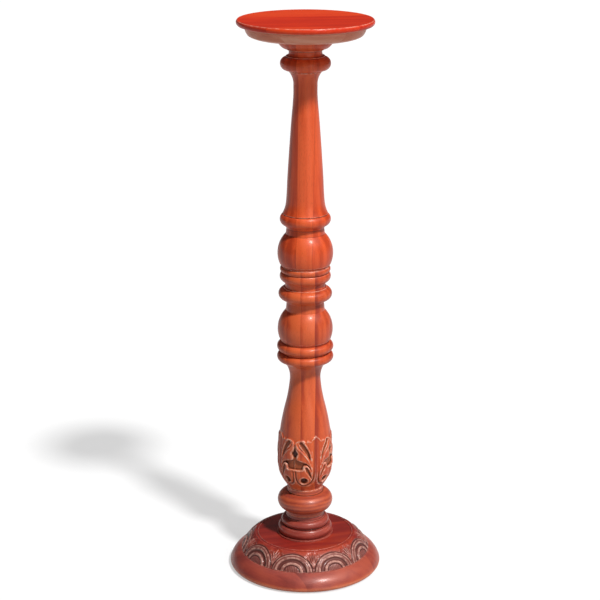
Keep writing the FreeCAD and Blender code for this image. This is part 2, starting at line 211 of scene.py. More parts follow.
def bendThrough(start, end, startWay, endWay, share):    # a point on a smooth curve between two
    run = np.hypot(*(end - start))
    square, cube = share ** 2, share ** 3
    return (
        start * (2 * cube - 3 * square + 1) + startWay * run * (cube - 2 * square + share)
        + end * (3 * square - 2 * cube) + endWay * run * (cube - square)
    )


def placeRings(run, low, high, corners, softStart):    # how far along a run of the outline each lies
    places = {low} if softStart else set()
    for beside in turning["besideCorner"]:
        if corners[0] and low + beside < high:
            places.add(low + beside)
        if corners[1] and high - beside > low:
            places.add(high - beside)
    if not all(corners):
        steps = math.ceil(run / turning["step"])
        places |= {run * part / steps for part in range(1, steps)}
    kept = []
    last = low if softStart else 0
    for place in sorted(places):
        hasRoom = last + turning["leastStep"] <= place <= high - turning["leastStep"]
        if place == low or hasRoom:
            kept.append(place)
            last = place
    return kept


def softenOutline(outline, closed):
    ahead = np.roll(outline, -1, axis=0) - outline
    length = np.hypot(*ahead.T)
    heading = unit(ahead)
    comingIn = np.roll(heading, 1, axis=0)
    bend = np.degrees(np.arccos(np.clip(np.sum(heading * comingIn, axis=1), -1, 1)))
    corner = bend > turning["cornerAngle"]
    soft = corner.copy()
    if not closed:
        corner[[0, -1]] = True
        soft[[0, -1]] = False
    shortest = np.minimum(length, np.roll(length, 1))
    cut = np.where(soft, np.minimum(turning["cornerRadius"], turning["cornerShare"] * shortest), 0)
    smooth = unit(heading + comingIn)

    rings = []
    for number in range(len(outline) if closed else len(outline) - 1):
        following = (number + 1) % len(outline)
        start, end, run = outline[number], outline[following], length[number]
        before = start - comingIn[number] * cut[number]
        after = start + heading[number] * cut[number]
        segments = turning["cornerSegments"] if soft[number] else 1
        for share in np.linspace(0, 1, segments + 1)[:-1]:
            rings.append(before * (1 - share) ** 2 + start * 2 * share * (1 - share) + after * share ** 2)
        low, high = cut[number], run - cut[following]
        corners = (corner[number], corner[following])
        startWay = heading[number] if corners[0] else smooth[number]
        endWay = heading[number] if corners[1] else smooth[following]
        for place in placeRings(run, low, high, corners, soft[number]):
            rings.append(bendThrough(start, end, startWay, endWay, place / run))
    if not closed:
        rings.append(outline[-1])
    return np.array(rings)


def measureHollow(rings, closed):
    path = np.vstack([rings, rings[:1]]) if closed else rings
    passed = measureAlong(path)
    here = passed[:len(rings), None]

    def lookUp(offsets):
        places = here + offsets
        places = np.mod(places, passed[-1]) if closed else np.clip(places, 0, passed[-1])
        return readLine(path, passed, places)

    reach = turning["hollowReach"]
    middle = lookUp(np.linspace(-reach, reach, turning["hollowSamples"])).mean(axis=1)
    beside = lookUp(np.array([-1, 1]) * turning["slopeReach"])
    outward = outwardOf(unit(beside[:, 1] - beside[:, 0]))
    return np.sum((middle - rings) * outward, axis=1)


def spinRings(name, rings, hollow, closed, steps):
    points = [(radius * mm, 0, height * mm) for radius, height in rings]
    edges = [(number, number + 1) for number in range(len(points) - 1)]
    if closed:
        edges.append((len(points) - 1, 0))
    piece = newPiece(name, points, edges)
    setAttribute(piece.data, "hollow", hollow)
    startEdit(piece)
    bpy.ops.mesh.spin(steps=steps, angle=2 * math.pi, center=(0, 0, 0), axis=(0, 0, 1), use_auto_merge=True)
    endEdit()
    onAxis = np.hypot(*getPoints(piece.data)[:, :2].T) < turning["weld"] * mm
    if onAxis.any():    # the spin left copies of these points
        editOnly(piece, "VERT", onAxis)
        bpy.ops.mesh.remove_doubles(threshold=turning["weld"] * mm)
        endEdit()
    return piece


def finishSkin(piece):
    startEdit(piece)
    bpy.ops.mesh.normals_make_consistent(inside=False)
    endEdit()
    bpy.ops.object.shade_smooth()
    openEdges = len(piece.data.edges) - len(piece.data.loops) / 2
    if openEdges:
        print("open edges on", piece.name, openEdges)


def turnPiece(name, nodeName, sliceAt=0, reshape=None):
    outline, closed = sliceOutline(nodeName, sliceAt)
    rings = softenOutline(outline, closed)
    if reshape:
        rings = reshape(rings)
    piece = spinRings(name, rings, measureHollow(rings, closed), closed, turning["spinSteps"])
    finishSkin(piece)
    return piece


rim = {    # mm
    "swell": 1.6,             # that the middle of the slope stands out
    "slope": (9.0, 30.5),     # up, from the slope's foot to its top
    "leastRadius": 116.0,     # nothing nearer the axis is moved
}


def roundRim(rings):
    low, high = rim["slope"]
    share = np.clip((rings[:, 1] - low) / (high - low), 0, 1)
    swell = rim["swell"] * 4 * share * (1 - share) * (rings[:, 0] > rim["leastRadius"])
    outAndUp = np.array([math.sqrt(0.5), math.sqrt(0.5)])
    return rings + swell[:, None] * outAndUp


# Carving. The relief of one motif is worked out on a flat map, and the fine rings of the carved
# stretch are pushed in and out by it. The plain stretches beside it are spun with fewer steps.

carving = {    # mm, where nothing else is said
    "mapStep": 0.25,
    "softened": 0.3,        # reach of the blur that takes the edge off the cuts
    "hollowReach": 2.0,     # reach of the blur that a hollow is measured against
    "blurWindow": 2.5,      # times a blur's reach, where its weights end
    "chordSlack": 0.5,      # that a point between two spin steps may lie nearer the axis
}


def cutCorners(points, rounds=3):    # turns a line of straight runs into a smooth one
    line = np.array(points, dtype=float)
    for _ in range(rounds):
        ahead = np.diff(line, axis=0)
        inner = np.empty((2 * len(ahead), 2))
        inner[0::2] = line[:-1] + 0.25 * ahead
        inner[1::2] = line[:-1] + 0.75 * ahead
        line = np.vstack([line[:1], inner, line[-1:]])
    return line


def nearLine(line, across, up):    # the distance from a line, and the share of it passed there
    ahead = np.diff(line, axis=0)
    length = np.hypot(*ahead.T)
    passed = measureAlong(line)
    nearest = np.full(across.shape, np.inf)
    share = np.zeros(across.shape)
    for (startX, startY), (wayX, wayY), run, before in zip(line, ahead, length, passed):
        part = ((across - startX) * wayX + (up - startY) * wayY) / max(run * run, tiny)
        part = np.clip(part, 0, 1)
        distance = np.hypot(across - startX - part * wayX, up - startY - part * wayY)
        closer = distance < nearest
        nearest = np.where(closer, distance, nearest)
        share = np.where(closer, (before + part * run) / passed[-1], share)
    return nearest, share


def depthInside(outline, across, up):    # the distance from an outline, positive inside it
    closedLine = np.vstack([outline, outline[:1]])
    distance, _ = nearLine(closedLine, across, up)
    inside = np.zeros(across.shape, dtype=bool)
    for (startX, startY), (endX, endY) in zip(closedLine[:-1], closedLine[1:]):
        if startY != endY:
            crossing = startX + (up - startY) / (endY - startY) * (endX - startX)
            inside ^= ((startY > up) != (endY > up)) & (across < crossing)
    return np.where(inside, distance, -distance)


def mound(distance, width):    # 1 on a line, falling to nothing about a width away from it
    return np.exp(-(distance / (0.6 * width)) ** 2)


def blurMap(values, reach):
    size = math.ceil(carving["blurWindow"] * reach / carving["mapStep"])
    weights = np.exp(-0.5 * (np.arange(-size, size + 1) * carving["mapStep"] / reach) ** 2)
    weights /= weights.sum()
    for axis in (0, 1):
        margins = [(0, 0), (0, 0)]
        margins[axis] = (size, size)
        padded = np.pad(values, margins, mode="reflect")
        values = np.apply_along_axis(np.convolve, axis, padded, weights, mode="valid")
    return values


def makeMaps(relief, width, height):
    step = carving["mapStep"]
    columns = np.arange(0, width + step, step)
    rows = np.arange(0, height + step, step)
    across, up = np.meshgrid(columns, rows, indexing="ij")
    level = blurMap(relief(across, up), carving["softened"])
    return {"level": level, "hollow": blurMap(level, carving["hollowReach"]) - level}


def readMap(values, across, up):
    lastColumn, lastRow = np.array(values.shape) - 1.001    # so that each cell has a further side
    column = np.clip(across / carving["mapStep"], 0, lastColumn)
    row = np.clip(up / carving["mapStep"], 0, lastRow)
    left, low = column.astype(int), row.astype(int)
    column, row = column - left, row - low
    lower = values[left, low] * (1 - column) + values[left + 1, low] * column
    upper = values[left, low + 1] * (1 - column) + values[left + 1, low + 1] * column
    return lower * (1 - row) + upper * row


def waver(turn, up, seed):    # a slow unevenness of the carver's hand, from -1 to 1
    # how often each wave comes in a turn, its radians per mm up, and where the seed starts it
    waves = ((5, 0.07, 1.0), (11, -0.05, 2.3), (17, 0.11, 4.1))
    return sum(np.sin(times * turn + climb * up + start * seed) for times, climb, start in waves) / len(waves)


def foldRound(degrees, motif):    # mm from the middle of the nearest motif
    span = 360 / motif["count"]
    return np.abs(np.mod(degrees + span / 2, span) - span / 2) * motif["mmPerDegree"]


def resample(line, count):
    line = cutCorners(line)
    passed = measureAlong(line)
    return readLine(line, passed, np.linspace(0, passed[-1], count))


def inBand(points, carved):    # which points lie on the carved stretch, before it is carved
    radius = np.hypot(points[:, 0], points[:, 1])
    low, high = carved[0, 1] - turning["weld"], carved[-1, 1] + turning["weld"]
    leastRadius = carved[:, 0].min() - carving["chordSlack"]
    return (points[:, 2] > low) & (points[:, 2] < high) & (radius > leastRadius)


def addColumns(piece, carved, cuts):    # divides the edges that run round the carved stretch
    mesh = piece.data
    points = getPoints(mesh) / mm
    ends = np.empty(2 * len(mesh.edges), dtype=int)
    mesh.edges.foreach_get("vertices", ends)
    ends = ends.reshape(-1, 2)
    runsRound = inBand(points, carved)[ends].all(axis=1)
    for measure in (points[:, 2], np.hypot(points[:, 0], points[:, 1])):
        runsRound &= np.abs(np.diff(measure[ends], axis=1)[:, 0]) < turning["weld"]
    editOnly(piece, "EDGE", runsRound)
    bpy.ops.mesh.subdivide(number_cuts=cuts)
    endEdit()


def carvePiece(name, rings, hollow, closed, start, end, motif, pushOut, skin=None):
    # rings from start to end are carved, over a skin of their own if there is one
    carved = resample(rings[start:end] if skin is None else skin, motif["rows"])
    allRings = np.vstack([rings[:start], carved, rings[end:]])
    allHollow = np.concatenate([hollow[:start], np.zeros(len(carved)), hollow[end:]])
    piece = spinRings(name, allRings, allHollow, closed, motif["steps"])
    addColumns(piece, carved, motif["cuts"])
    points = getPoints(piece.data) / mm
    band = inBand(points, carved)
    turn = np.arctan2(points[band, 0], -points[band, 1])    # from the front, towards +X
    passed = measureAlong(carved) + math.dist(rings[start - 1], carved[0])
    up = np.interp(points[band, 2], carved[:, 1], passed)
    outward = outwardOf(np.gradient(carved, passed, axis=0))
    level, bandHollow, bandDeep = pushOut(turn, up)
    pushed = readLine(carved, passed, up) + readLine(outward, passed, up) * level[:, None]
    radius, height = pushed.T
    points[band] = np.stack([radius * np.sin(turn), -radius * np.cos(turn), height], axis=1)
    setPoints(piece.data, points * mm)
    for attribute, values in (("hollow", bandHollow), ("deep", bandDeep)):
        everywhere = getAttribute(piece.data, attribute)
        everywhere[band] = values
        setAttribute(piece.data, attribute, everywhere)
    finishSkin(piece)
    return piece


# The vase of the lower column, with four acanthus leaves. One half of a leaf is described, from
# its vein at 0 mm across to the middle of the gap beside it at 38 mm, and from its foot up.

leaf = {
    "count": 4, "turn": 23.0,             # degrees from the front to the first vein, towards +X
    "uneven": 2.0,                        # degrees that the carver's spacing is out
    "mmPerDegree": 0.85,
    "footStep": 3.0,                      # mm from the knop's top to the foot of the leaves
    "ledge": 96.0, "carvedHeight": 112.0,    # mm above the foot
    "ledgeGap": 1.0,                      # mm of the vase left out above and below its ledge
    "leastRadius": 25.0,                  # mm, the tenon is thinner
    "relief": 1.2,                        # mm that the leaves stand out from the vase above them
    "tipLift": 0.5,                       # mm that the tips curl out
    "sunk": 0.5,                          # mm that all above the foot lies in
    "settled": 2.2,                       # mm that all below the upper lobe is moved down
    "gapDepth": 4.2, "slitDepth": 1.6, "eyeDepth": 5.8,    # mm
    "eye": (21.6, 27.4), "eyeSize": (7.3, 7.8),    # mm, its centre, and half its width and height
    "rows": 116, "steps": 112, "cuts": 3, "seamGap": 0.6,
    "handAcross": 0.5, "handUp": 0.7,     # mm of unevenness
    "gougeDepth": 0.12, "gougesRound": 63, "gougeClimb": 0.9,
    "mapDegrees": 46, "mapHeight": 124,
}
leafEdges = {    # points across and up, in mm
    "tips": [
        (44, 99), (38, 99), (36, 103), (31.5, 105.5), (26, 106.5), (21, 105.5), (17.2, 103.5), (15.7, 107.5),
        (11, 103), (8.5, 106), (5, 110.5), (1.7, 113), (0, 114),
    ],
    "belowTips": [(-6, 114), (-6, -6), (44, -6)],
    "gap": [
        (45, 50.6), (38, 50.6), (30, 50.6), (24.6, 50.8), (23.7, 54.3), (23.1, 58.2), (20.5, 60.3),
        (17.8, 60.6), (14.7, 59), (12.6, 56), (10.5, 52.1), (9.2, 47), (8.6, 47.5), (9.6, 53), (11.2, 57.6),
        (14.2, 61.8), (17.9, 64.4), (22, 65.8), (27.3, 67), (32.4, 68.4), (34.7, 70.4), (35.1, 73.2),
        (33.4, 76.6), (31.4, 80.2), (35.0, 84.3), (36.6, 88.8), (37.5, 93.2), (38.2, 96.5), (45, 97),
    ],
    "roundEye": [
        (4.7, 104), (4.7, 60), (4.7, 34), (6.3, 27.7), (8.9, 21), (13.6, 16.6), (20.5, 14.6), (26.8, 16),
        (32.1, 19.9), (35.6, 27.7), (36.2, 38.8), (36.2, 47),
    ],
}
leafLines = {    # points, how far the line stands out, and its width, in mm
    "strip": ([(7.6, 84), (7.6, 40), (9.4, 27)], 0.4, 2.4),
    "groove": ([
        (31.3, 96), (30.4, 93.2), (26.8, 88.2), (21.5, 82.7), (16.3, 77.1), (12.6, 71.6), (10.4, 65),
    ], -1.3, 1.25),
    "ledge": ([(28.8, 95.2), (24.6, 89.2), (19.6, 83.6), (14.9, 78)], 0.5, 1.0),
    "ridge": ([
        (35.6, 99), (33.8, 92.5), (29.2, 86.4), (24.4, 82), (19.6, 77.4), (15.3, 72.8), (12.3, 67.6),
        (10.3, 62),
    ], 0.95, 2.3),
    "brow": ([(22, 102.5), (18, 96.6), (14.4, 90.4), (11.2, 83.2), (9.4, 77)], 0.55, 1.4),
    "border": ([(18.6, 104), (15.2, 96), (11.9, 89), (9.3, 82), (7.8, 75)], -0.8, 1.2),
}
leafHollows = {    # points, half the width at shares of the way, depth, and the share that is floor
    "lobe": (
        [(26.6, 99.4), (24.2, 96.4), (20, 89.9), (15.9, 83.2), (12.6, 77.4), (10.6, 71)],
        ([0, 0.25, 0.5, 0.75, 1], [3.6, 4.2, 4.0, 2.7, 0.5]), 3.1, 0.55,
    ),
    "curl": (
        [(17.2, 55), (15.5, 50), (13.1, 45.4), (11.5, 41), (9.7, 36.6), (8.6, 32.7)],
        ([0, 0.25, 0.45, 0.63, 0.82, 1], [2.7, 3.4, 2.7, 2.0, 1.3, 0.3]), 2.5, 0.5,
    ),
}


def leafTips(up, tips):    # they curl out, with a lip along their edge
    level = leaf["tipLift"] * smoothStep(84, 104, up) - 0.5 * smoothStep(2.0, 0, tips)
    return level + 0.6 * mound(tips - 1.8, 1.9) * smoothStep(88, 98, up)


def leafVein(across, up, middle):
    # the vein is a low band, and a groove runs down beside it and round under the eye
    level = 0.4 * smoothStep(5.2, 3.2, across) - leaf["sunk"] * smoothStep(2, 14, up)
    distance, share = nearLine(cutCorners(leafEdges["roundEye"]), across, up)
    level -= np.interp(share, [0, 0.4, 0.55, 0.8, 1], [0.8, 1.2, 2.5, 2.5, 1.5]) * mound(distance, 2.7)
    stalk = np.interp(up, [8, 48], [4.5, 1.3])    # between two leaves, wider at its foot
    return level + 0.4 * smoothStep(1, 0.4, (middle - across) / stalk) * smoothStep(49, 46, up)


def leafGap(across, up, middle):    # between leaves, with a slit above it and a fillet up its middle
    inGap = depthInside(cutCorners(leafEdges["gap"], 2), across, up)
    fillet = 1.3 * mound(middle - across, 2.6) * smoothStep(75, 69, up)
    slit = leaf["slitDepth"] * smoothStep(71, 76, up)
    level = -(leaf["gapDepth"] + slit - fillet) * smoothStep(-0.2, 1.3, inGap)
    level -= 0.5 * smoothStep(2.4, 0.2, -inGap) * smoothStep(60, 66, up) * (inGap < 0)
    lowerRim = mound(-inGap - 1.6, 1.9) * (inGap < 0.2)
    level += 0.85 * lowerRim * smoothStep(64, 60, up) * smoothStep(44, 50, up)
    return level - 1.5 * mound(middle - across, 1.4) * smoothStep(90, 96, up)


def leafEye(across, up):
    (eyeAcross, eyeUp), (halfWidth, halfHeight) = leaf["eye"], leaf["eyeSize"]
    eye = np.hypot((across - eyeAcross) / halfWidth, (up - eyeUp) / halfHeight)
    raisedEdge = 0.6 * mound((eye - 1.13) * 7.4, 1.7)
    return raisedEdge - leaf["eyeDepth"] * smoothStep(1.03, 0.6, eye)


def leafRelief(across, up):
    middle = 180 / leaf["count"] * leaf["mmPerDegree"]
    tipLine = cutCorners(leafEdges["tips"], 2)
    tips = depthInside(np.vstack([tipLine, leafEdges["belowTips"]]), across, up)
    level = leafTips(up, tips) + leafVein(across, up, middle)
    for points, height, width in leafLines.values():
        level += height * mound(nearLine(cutCorners(points), across, up)[0], width)
    for points, widths, depth, floorShare in leafHollows.values():
        distance, share = nearLine(cutCorners(points), across, up)
        level -= depth * smoothStep(1.08, floorShare, distance / np.interp(share, *widths))
    level += leafGap(across, up, middle) + leafEye(across, up)
    ground = smoothStep(-0.7, 0.7, tips)
    level = level * ground - leaf["relief"] * (1 - ground)
    return level * smoothStep(0, 5, up)


def pushLeaves(turn, up):    # how far out, how hollow and how deeply cut
    maps = makeMaps(leafRelief, leaf["mapDegrees"] * leaf["mmPerDegree"], leaf["mapHeight"])
    degrees = np.degrees(turn) - leaf["uneven"] * np.sin(2 * turn) - leaf["turn"]
    degrees += waver(turn, up, 1.0) * leaf["handAcross"] / leaf["mmPerDegree"]
    across = foldRound(degrees, leaf)
    aboveFoot = smoothStep(2, 12, up)
    upward = up + leaf["settled"] * smoothStep(84, 66, up) * aboveFoot
    upward += waver(turn, up, 2.0) * leaf["handUp"] * aboveFoot
    level = readMap(maps["level"], across, upward)
    gouges = np.sin(leaf["gougesRound"] * turn + leaf["gougeClimb"] * up)
    level += leaf["gougeDepth"] * gouges * smoothStep(-1.5, -3.5, level)
    level *= smoothStep(0, 4, up)
    level = np.where(up > up.max() - 4, -leaf["relief"], level)    # back to the vase's own skin
    # the last 0.3 comes only in the deepest cuts, the eyes, which the finish paints near black as shade
    deep = 0.7 * smoothStep(-0.8, -2.6, level) + 0.3 * smoothStep(-4.9, -5.8, level)
    return level, readMap(maps["hollow"], across, upward), deep


def carveLowerColumn():
    outline, _ = sliceOutline("lower_column")
    rings = softenOutline(outline, False)
    hollow = measureHollow(rings, False)
    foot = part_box("knop")[1][2] / mm + leaf["footStep"]
    ledge, top = foot + leaf["ledge"], foot + leaf["carvedHeight"]
    onVase = (rings[:, 0] > leaf["leastRadius"]) & (np.arange(len(rings)) < np.argmax(rings[:, 1]))
    start = int(np.argmax(onVase & (rings[:, 1] > foot + leaf["seamGap"])))
    end = int(np.argmax(onVase & (rings[:, 1] > top)))
    skin = rings[start:end]
    lower = skin[skin[:, 1] < ledge - leaf["ledgeGap"]]
    upper = skin[skin[:, 1] > ledge + leaf["ledgeGap"]]
    outward = outwardOf(unit(np.gradient(upper, axis=0)))
    upper = upper + leaf["relief"] * outward    # so that the leaves' skin runs on over the ledge
    skin = np.vstack([lower, upper])
    return carvePiece("lowerColumn", rings, hollow, False, start, end, leaf, pushLeaves, skin)


# The upper disc of the base, with a band of nine arches and a sprig between each two. Half an
# arch is described, from its middle to the middle of the sprig, and from the foot of the band up.

arch = {
    "count": 9, "turn": -12.0,            # degrees from the front to the middle of the first arch
    "halfWidth": 19.0,                    # degrees
    "height": 33.0,                       # mm up the slope
    "mmPerDegree": 1.87,
    "bandWidth": 27.0,                    # mm in from the edge of the disc
    "leastClimb": 0.05,                   # mm from ring to ring, where the slope ends
    # where each bar starts and ends, as a share of the arch, and mm out; the last is a round hollow
    "bars": ((0.72, 0.995, 1.3), (0.385, 0.56, 0.9), (0.53, 0.745, -1.6)),
    "grooves": ((1.01, 1.2), (0.865, 0.45), (0.375, 1.2)),    # share of the arch, and depth
    "grooveWidth": 1.1,
    "domeHeight": 0.5, "ribHeight": 0.28, "ribWidth": 2.9,
    "rows": 52, "steps": 144, "cuts": 7, "seamGap": 0.8,
    "handAcross": 0.7, "handUp": 0.6,
    "mapDegrees": 20.5, "mapHeight": 44,
}
sprig = {
    "blades": (    # points from the sprig's middle, and half the width
        ([(0, 9), (0, 24), (0, 37)], 1.5),
        ([(0.8, 11), (2.6, 22), (6.2, 32.5)], 1.4),
        ([(1.2, 9), (4.4, 18), (10.2, 26.5)], 1.3),
    ),
    "taper": ([0, 0.4, 1], [0.7, 1, 0.35]),
    "height": 1.5, "ground": 1.1,         # mm up and down
}


def archShare(across, up):    # 0 in the middle of an arch's foot and 1 along its outer edge
    return np.hypot(across / (arch["halfWidth"] * arch["mmPerDegree"]), up / arch["height"])


def sprigRelief(beside, up):
    raised = np.zeros(beside.shape)
    near = np.full(beside.shape, np.inf)
    for blade, width in sprig["blades"]:
        distance, share = nearLine(cutCorners(blade), beside, up)
        thick = width * np.interp(share, *sprig["taper"])
        raised = np.maximum(raised, smoothStep(1.15, 0.1, distance / thick))
        near = np.minimum(near, distance)
    lowered = smoothStep(7, 2.5, near)
    return sprig["height"] * raised - sprig["ground"] * lowered * (1 - raised * 0.4)


def archRelief(across, up):
    ring = archShare(across, up)
    level = -0.4 * smoothStep(1.02, 0.98, ring)
    for start, end, height in arch["bars"]:
        middle, half = (start + end) / 2, (end - start) / 2
        level += height * np.sqrt(np.clip(1 - ((ring - middle) / half) ** 2, 0, 1))
    for groove, depth in arch["grooves"]:
        level -= depth * mound((ring - groove) * arch["height"], arch["grooveWidth"])
    ribs = np.cos(across * 2 * math.pi / arch["ribWidth"])
    dome = arch["domeHeight"] * smoothStep(0.37, 0.1, ring) + arch["ribHeight"] * ribs
    level += dome * smoothStep(0.37, 0.3, ring)
    sprigAt = 180 / arch["count"] * arch["mmPerDegree"]
    level += smoothStep(1.0, 1.06, ring) * sprigRelief(sprigAt - across, up)
    return level * smoothStep(0, 0.8, up) + 0.25 * mound(up - 0.8, 1.0)


def pushArches(turn, up):    # how far out, how hollow and how deeply cut
    maps = makeMaps(archRelief, arch["mapDegrees"] * arch["mmPerDegree"], arch["mapHeight"])
    degrees = np.degrees(turn) - arch["turn"]
    degrees += waver(turn, up, 3.0) * arch["handAcross"] / arch["mmPerDegree"]
    across = foldRound(degrees, arch)
    upward = up + waver(turn, up, 4.0) * arch["handUp"] * smoothStep(1, 8, up)
    fade = smoothStep(up.max(), up.max() - 2, up) * smoothStep(0, 0.6, up)
    level = readMap(maps["level"], across, upward) * fade
    onArch = smoothStep(1.15, 1.0, archShare(across, upward))
    onSprig = smoothStep(38, 30, upward) * 0.6
    return level, readMap(maps["hollow"], across, upward), 0.5 * np.maximum(onArch, onSprig)


def carveDisc():
    outline, _ = sliceOutline("carved_disc", turning["betweenScrews"])
    rings = softenOutline(outline, True)
    hollow = measureHollow(rings, True)
    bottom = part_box("carved_disc")[0][2] / mm
    onBand = rings[:, 0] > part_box("carved_disc")[1][0] / mm - arch["bandWidth"]
    start = int(np.argmax(onBand & (rings[:, 1] > bottom + arch["seamGap"])))
    end = start + int(np.argmax(np.diff(rings[start:, 1]) < arch["leastClimb"]))
    return carvePiece("carvedDisc", rings, hollow, True, start, end, arch, pushArches)


# Finishes

class Graph:    # short names for adding nodes to a material
    def __init__(self, name):
        self.material = bpy.data.materials.new(name)
        self.material.use_nodes = True
        self.nodes = self.material.node_tree.nodes
        self.links = self.material.node_tree.links
        self.shader = self.nodes["Principled BSDF"]
        self.place = self.add("TexCoord").outputs["Object"]

    def add(self, kind, settings=None, inputs=()):
        node = self.nodes.new("ShaderNode" + kind)
        for name, value in (settings or {}).items():
            setattr(node, name, value)
        for key, value in dict(inputs).items():
            self.feed(node.inputs[key], value)
        return node

    def feed(self, socket, value):
        if isinstance(value, bpy.types.NodeSocket):
            self.links.new(value, socket)
        else:
            socket.default_value = value

    def maths(self, operation, first, second=0.0, third=0.0):
        return self.add("Math", {"operation": operation}, {0: first, 1: second, 2: third}).outputs[0]

    def multiply(self, first, second, plus=0.0):
        return self.maths("MULTIPLY_ADD", first, second, plus)

    def mixColor(self, factor, first, second):
        settings = {"data_type": "RGBA"}
        return self.add("Mix", settings, {0: factor, 6: toColor(first), 7: toColor(second)}).outputs[2]

    def noise(self, vector, scale, detail=2.0, roughness=0.5):
        inputs = {"Vector": vector, "Scale": scale, "Detail": detail, "Roughness": roughness}
        return self.add("TexNoise", None, inputs).outputs["Fac"]

    def stretch(self, vector, along):    # patterns read from it are longer along Z
        return self.add("Mapping", None, {"Vector": vector, "Scale": (1, 1, along)}).outputs[0]

    def split(self, vector):
        return self.add("SeparateXYZ", None, {0: vector}).outputs

    def combine(self, x, y, z=0.0):
        return self.add("CombineXYZ", None, {0: x, 1: y, 2: z}).outputs[0]

    def spread(self, value, fromLow, fromHigh, toLow=0.0, toHigh=1.0):
        inputs = dict(enumerate((value, fromLow, fromHigh, toLow, toHigh)))
        return self.add("MapRange", {"interpolation_type": "SMOOTHSTEP"}, inputs).outputs[0]

    def attribute(self, name):
        return self.add("Attribute", {"attribute_name": name}).outputs["Fac"]

    def raised(self, height):
        bump = self.add("Bump", None, {"Height": height, "Strength": 1.0, "Distance": mm}).outputs[0]
        self.feed(self.shader.inputs["Normal"], bump)
        return bump


def toColor(value):
    return (*value, 1.0) if isinstance(value, tuple) else value


# Wood. The patterns are the same in all of it, and a look says how strongly each one shows.

woodPatterns = {    # scale per metre, how much slower along the grain, detail and roughness
    "warp": (16.0, 0.16, 2.0, 0.5), "streaks": (420.0, 0.03, 4.0, 0.65),
    "ribbon": (70.0, 0.1, 2.0, 0.5), "pores": (1700.0, 0.05, 1.0, 0.5),
}
woodScales = {"clouds": 11.0, "wear": 170.0, "wave": 120.0}    # per metre
woodBoards = {
    "toneStep": 2.0, "figureStep": (0.37, 0.61),    # from board to board
    "heart": 0.45,                                  # share of a board that is darker, at one edge
    "pith": 0.05, "pithSpread": 0.04,               # metres behind the boards, and aside
    "glueLine": (0.1, 0.6),                         # mm from its middle to its edge
}


def grainFrame(look):    # turns the object so that X runs across the boards and Z along the grain
    turn = math.radians(look["grainTurn"])
    cosine, sine = math.cos(turn), math.sin(turn)
    upright = ((cosine, sine, 0), (-sine, cosine, 0), (0, 0, 1))
    lying = ((-sine, cosine, 0), (0, 0, 1), (cosine, sine, 0))
    return tuple(Matrix(lying if look["lying"] else upright).to_euler())


def addBoards(graph, look):    # glued side by side, each with a tone and a figure of its own
    inputs = {"Vector": graph.place, "Rotation": grainFrame(look)}
    grain = graph.add("Mapping", None, inputs).outputs[0]
    sides = graph.split(grain)
    across = graph.multiply(sides[0], 1 / (look["board"] * mm), -look["glueLine"] / look["board"])
    board = graph.maths("FLOOR", across)
    inBoard = graph.maths("FRACT", across)
    toEdge = graph.maths("MINIMUM", inBoard, graph.maths("SUBTRACT", 1.0, inBoard))
    swing = graph.maths("SINE", graph.multiply(board, woodBoards["toneStep"], look["seed"]))
    seeded = graph.maths("ADD", board, look["seed"])
    stepX, stepY = [graph.multiply(seeded, step) for step in woodBoards["figureStep"]]
    moved = {0: grain, 1: graph.combine(stepX, stepY, seeded)}
    return {
        "sides": sides,
        "figure": graph.add("VectorMath", {"operation": "ADD"}, moved).outputs[0],
        "tone": graph.multiply(swing, 0.5, 0.5),
        "heart": graph.spread(inBoard, 0.0, woodBoards["heart"]),
        "fromLine": graph.multiply(toEdge, look["board"]),
    }


def addPattern(graph, figure, name):
    scale, along, detail, roughness = woodPatterns[name]
    return graph.noise(graph.stretch(figure, along), scale, detail, roughness)


def addRings(graph, look, boards):    # round a distant pith, and wavering along the board
    warp = addPattern(graph, boards["figure"], "warp")
    pithX = graph.multiply(boards["tone"], woodBoards["pithSpread"], boards["sides"][0])
    pithY = graph.maths("ADD", boards["sides"][1], woodBoards["pith"])
    fromPith = {0: graph.combine(pithX, pithY)}
    away = graph.add("VectorMath", {"operation": "LENGTH"}, fromPith).outputs["Value"]
    count = graph.multiply(away, 1 / (look["ringWidth"] * mm), graph.multiply(warp, look["ringWaver"]))
    return graph.spread(graph.maths("PINGPONG", count, 1.0), 0.0, 1.0)


def addFigure(graph, look, boards, figure):    # the colour of the bare wood under its polish
    mixed, total = 0.0, 0.0
    for name in ("rings", "streaks", "ribbon", "boards", "heart", "clouds"):
        mixed = graph.multiply(figure[name], look[name], mixed)
        total += look[name]
    mixed = graph.spread(graph.multiply(mixed, 1 / total), 0.3, 0.7)
    ramp = graph.add("ValToRGB", None, {0: mixed})
    stops = ramp.color_ramp.elements
    stops[0].color, stops[1].color = toColor(look["dark"]), toColor(look["light"])
    stops.new(0.5).color = toColor(look["middle"])
    color = graph.mixColor(graph.multiply(figure["pores"], look["pores"]), ramp.outputs[0], look["poreColor"])
    line = graph.spread(boards["fromLine"], *woodBoards["glueLine"], look["glue"], 0.0)
    color = graph.mixColor(line, color, look["glueColor"])
    if "under" in look:    # paler low down: on the plate's underside this is painted bounce light from the floor, and the rim is oranger towards its foot
        height = graph.split(graph.place)[2]
        low = graph.spread(height, *look["underFrom"], 1.0, 0.0)
        color = graph.mixColor(low, color, graph.mixColor(mixed, *look["under"]))
    return color


